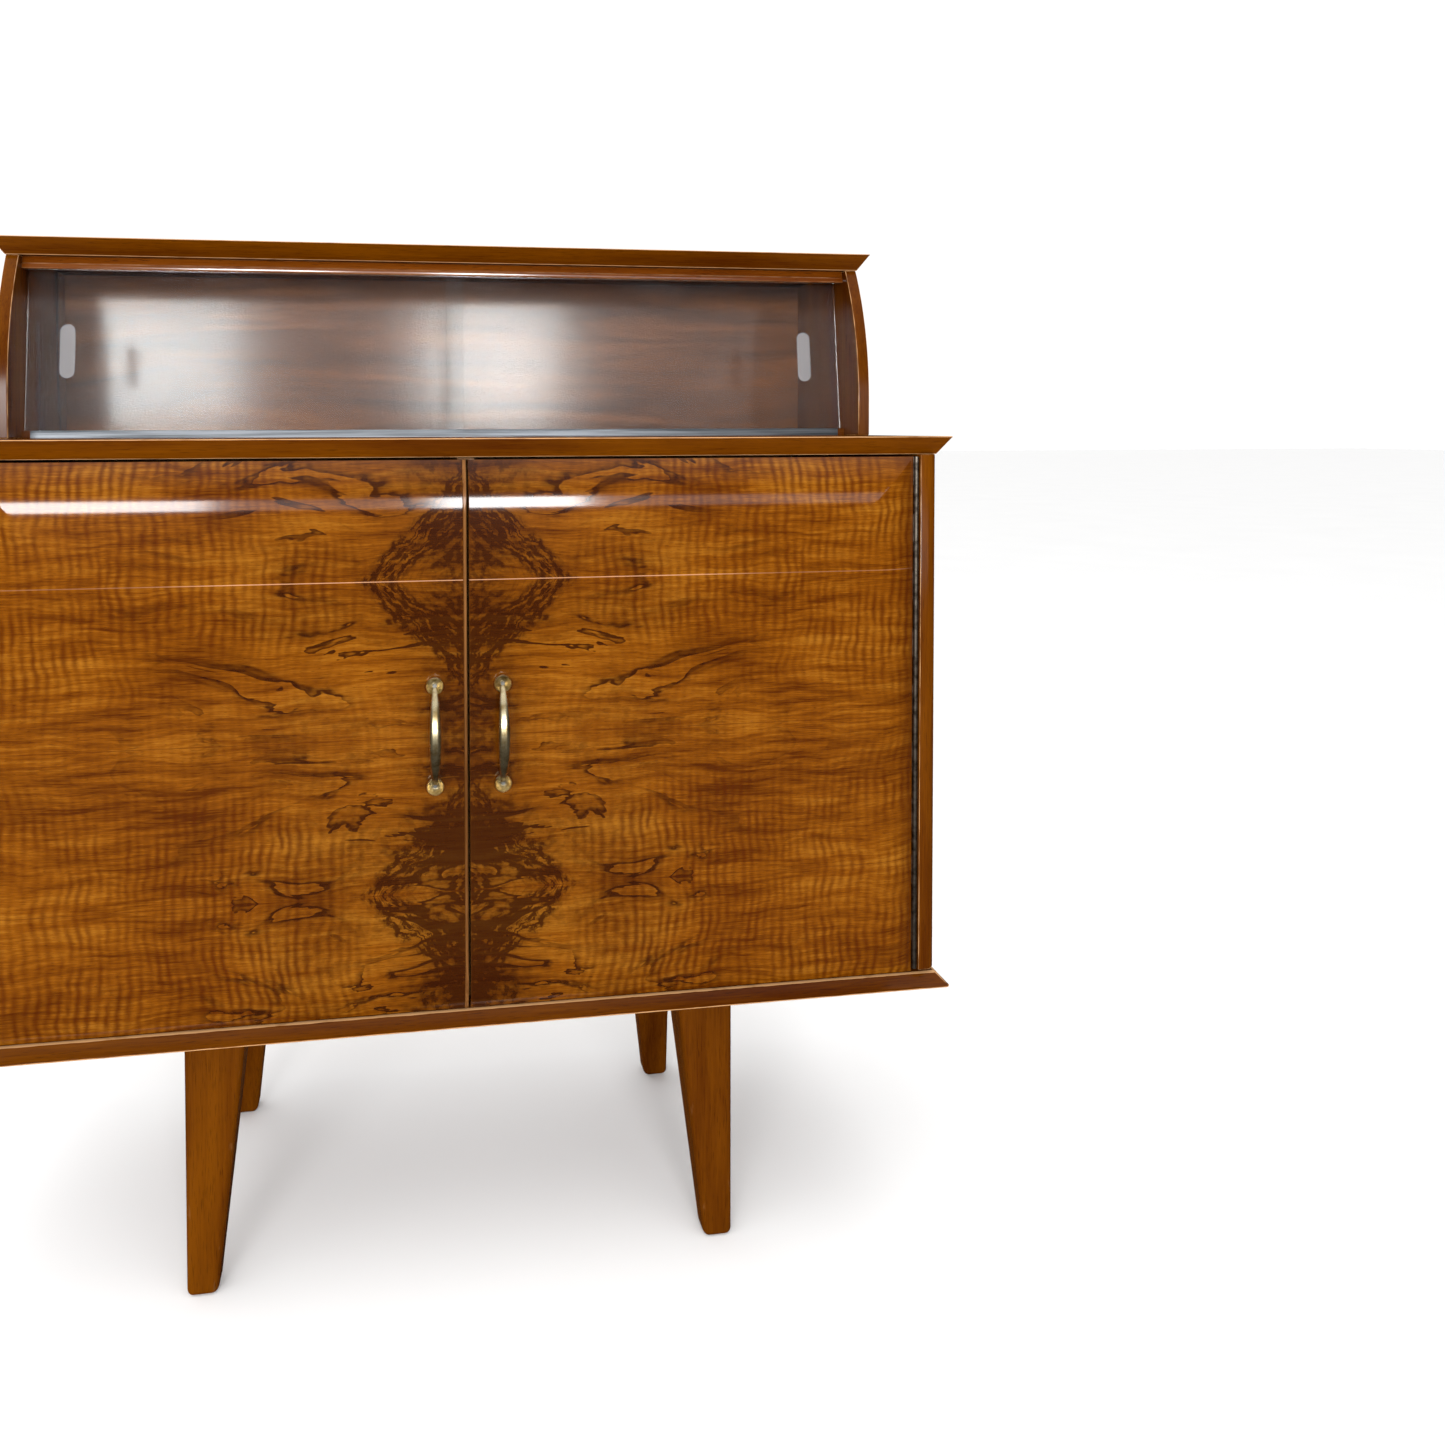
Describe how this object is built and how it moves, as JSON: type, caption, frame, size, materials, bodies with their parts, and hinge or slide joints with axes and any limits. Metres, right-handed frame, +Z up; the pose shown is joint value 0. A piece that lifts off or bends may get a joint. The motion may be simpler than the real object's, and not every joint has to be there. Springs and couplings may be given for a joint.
{
  "type": "glazed display sideboard",
  "caption": "Two-door walnut sideboard on tapered legs with a raised glazed display section behind two sliding panes.",
  "frame": {"origin": "middle of the whole footprint, handles included, on the floor", "axes": "+X to the right seen from the front, +Y from front to back, +Z up; the front faces -Y"},
  "size_m": [1.082, 0.4647, 1.142],
  "materials": {
    "trim_wood": "satin, orange-brown walnut-stained solid edge",
    "figured_walnut": "polished, book-matched figured walnut veneer",
    "dark_walnut": "polished dark walnut veneer",
    "inside_wood": "matt, plain lining veneer",
    "dowel_beech": "bare beech",
    "pale_bead": "satin, pale lipping",
    "aged_brass": "polished, lightly tarnished",
    "screw_brass": "dull",
    "hinge_steel": "dull, oiled",
    "fixing_steel": "zinc plated",
    "plate_steel": "black lacquer",
    "catch_case": "brown lacquer",
    "track_aluminium": "drawn, dull",
    "pane_glass": "clear, polished edges"
  },
  "bodies": {
    "carcass": {"lower_top": "trim_wood", "bottom_board": "trim_wood", "cupboard_floor": "trim_wood", "side_left": "trim_wood", "side_right": "trim_wood", "centre_divider": "inside_wood", "lower_back_panel": "inside_wood", "lower_back_screws": "screw_brass", "shelf_left": "inside_wood", "shelf_right": "inside_wood", "shelf_pins": "fixing_steel", "carcass_dowels": "dowel_beech", "leg_front_left": "trim_wood", "leg_front_right": "trim_wood", "leg_rear_left": "trim_wood", "leg_rear_right": "trim_wood", "leg_plates": "plate_steel", "leg_studs": "fixing_steel", "leg_plate_screws": "fixing_steel", "hinge_left_frame_leaf": "hinge_steel", "hinge_left_pin": "hinge_steel", "hinge_left_frame_screws": "fixing_steel", "hinge_right_frame_leaf": "hinge_steel", "hinge_right_pin": "hinge_steel", "hinge_right_frame_screws": "fixing_steel", "catch_magnets": "catch_case", "catch_magnet_screws": "fixing_steel", "upper_side_left": "trim_wood", "upper_side_right": "trim_wood", "upper_top": "trim_wood", "upper_back_panel": "dark_walnut", "upper_back_screws": "screw_brass", "front_rail": "trim_wood", "rail_dowels": "dowel_beech", "upper_dowels": "dowel_beech", "deck_dowels": "dowel_beech", "top_track": "trim_wood", "bottom_track": "track_aluminium", "track_end_blocks": "trim_wood"},
    "door_left": {"door_left_panel": "figured_walnut", "door_meeting_bead": "pale_bead", "hinge_left_door_leaf": "hinge_steel", "hinge_left_door_screws": "fixing_steel", "handle_left_bow": "aged_brass", "handle_left_cups": "aged_brass", "handle_left_bolts": "fixing_steel", "catch_plate_left": "fixing_steel", "catch_plate_left_screws": "fixing_steel"},
    "door_right": {"door_right_panel": "figured_walnut", "hinge_right_door_leaf": "hinge_steel", "hinge_right_door_screws": "fixing_steel", "handle_right_bow": "aged_brass", "handle_right_cups": "aged_brass", "handle_right_bolts": "fixing_steel", "catch_plate_right": "fixing_steel", "catch_plate_right_screws": "fixing_steel"},
    "glass_left": {"glass_left": "pane_glass"},
    "glass_right": {"glass_right": "pane_glass"}
  },
  "joints": [
    {"name": "door_left_hinge", "type": "hinge", "parent": "carcass", "child": "door_left", "pos_m": [-0.4985, -0.18765, 0.599], "axis": [0, 0, -1], "range_deg": [0, 100]},
    {"name": "door_right_hinge", "type": "hinge", "parent": "carcass", "child": "door_right", "pos_m": [0.4985, -0.18765, 0.599], "axis": [0, 0, 1], "range_deg": [0, 100]},
    {"name": "glass_left_slide", "type": "slide", "parent": "carcass", "child": "glass_left", "axis": [1, 0, 0], "range_m": [0, 0.5]},
    {"name": "glass_right_slide", "type": "slide", "parent": "carcass", "child": "glass_right", "axis": [-1, 0, 0], "range_m": [0, 0.5]}
  ]
}
